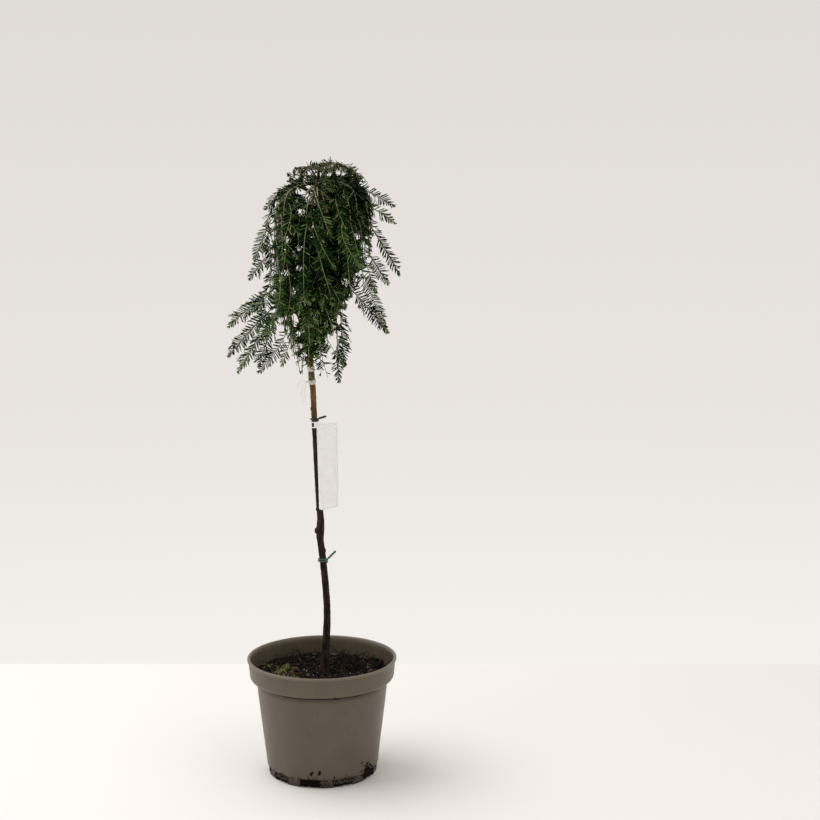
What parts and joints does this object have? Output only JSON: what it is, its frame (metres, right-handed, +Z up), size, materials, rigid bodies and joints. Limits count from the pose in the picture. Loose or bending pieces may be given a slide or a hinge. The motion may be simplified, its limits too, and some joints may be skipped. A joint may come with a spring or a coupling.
{
  "type": "potted weeping hemlock",
  "caption": "Small weeping hemlock grafted on a straight stem, in a round nursery pot with its soil, a hanging label, tape wraps and wire ties.",
  "frame": {"origin": "centre of the pot's flat underside", "axes": "+Z up along the plant, -Y to its front, +X to the right seen from the front"},
  "size_m": [0.252, 0.2214, 0.911],
  "materials": {
    "pot_plastic": "matte",
    "potting_soil": "matte",
    "bark": "matte",
    "needles": "matte",
    "white_plastic": "satin",
    "green_wire": "satin"
  },
  "bodies": {
    "root": {"bough_crest": "bark", "bough_lower_1": "bark", "bough_lower_2": "bark", "bough_lower_3": "bark", "bough_lower_4": "bark", "bough_lower_5": "bark", "bough_lower_6": "bark", "bough_outer_1": "bark", "bough_outer_2": "bark", "bough_outer_3": "bark", "bough_outer_4": "bark", "bough_outer_5": "bark", "bough_outer_6": "bark", "bough_outer_7": "bark", "bough_outer_8": "bark", "foliage_arch": "needles", "foliage_crest": "needles", "foliage_lower_1": "needles", "foliage_lower_2": "needles", "foliage_lower_3": "needles", "foliage_lower_4": "needles", "foliage_lower_5": "needles", "foliage_lower_6": "needles", "foliage_outer_1": "needles", "foliage_outer_2": "needles", "foliage_outer_3": "needles", "foliage_outer_4": "needles", "foliage_outer_5": "needles", "foliage_outer_6": "needles", "foliage_outer_7": "needles", "foliage_outer_8": "needles", "graft_tape_1": "white_plastic", "graft_tape_2": "white_plastic", "plant_label": "white_plastic", "pot": "pot_plastic", "potting_soil": "potting_soil", "trunk": "bark", "wire_tie_1": "green_wire", "wire_tie_2": "green_wire"}
  },
  "joints": []
}
